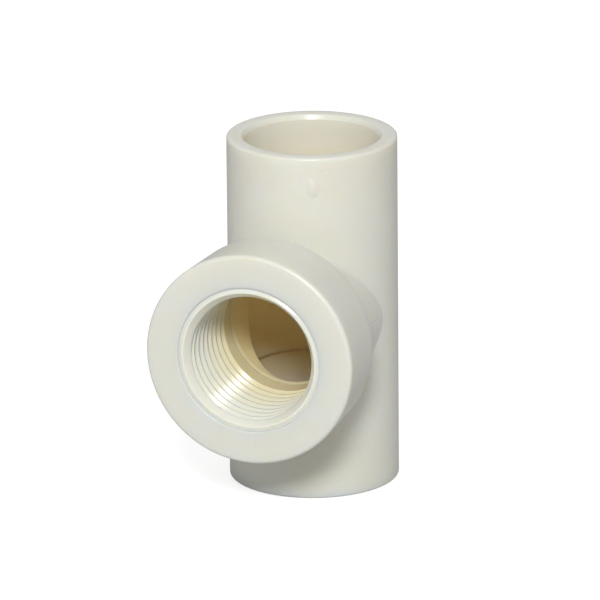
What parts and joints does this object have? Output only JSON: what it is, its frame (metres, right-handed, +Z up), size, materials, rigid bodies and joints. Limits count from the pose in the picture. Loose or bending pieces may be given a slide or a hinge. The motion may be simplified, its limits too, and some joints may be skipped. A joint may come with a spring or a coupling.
{
  "type": "pvc tee fitting",
  "caption": "Ivory PVC tee for irrigation pipe: plain solvent-weld sockets at both ends of a straight run, and a thick-collared side branch with a female pipe thread.",
  "frame": {"origin": "centre of the lower socket's mouth, on the run's axis", "axes": "+Z up along the run, from the lower socket to the upper one; the threaded branch points along -Y"},
  "size_m": [0.032, 0.0413, 0.0528],
  "materials": {
    "ivory_pvc": "smooth moulded, semi-gloss",
    "ivory_pvc_bush": "smooth moulded, glossy thread"
  },
  "bodies": {
    "root": {"tee_body": "ivory_pvc", "threaded_bush": "ivory_pvc_bush"}
  },
  "joints": []
}
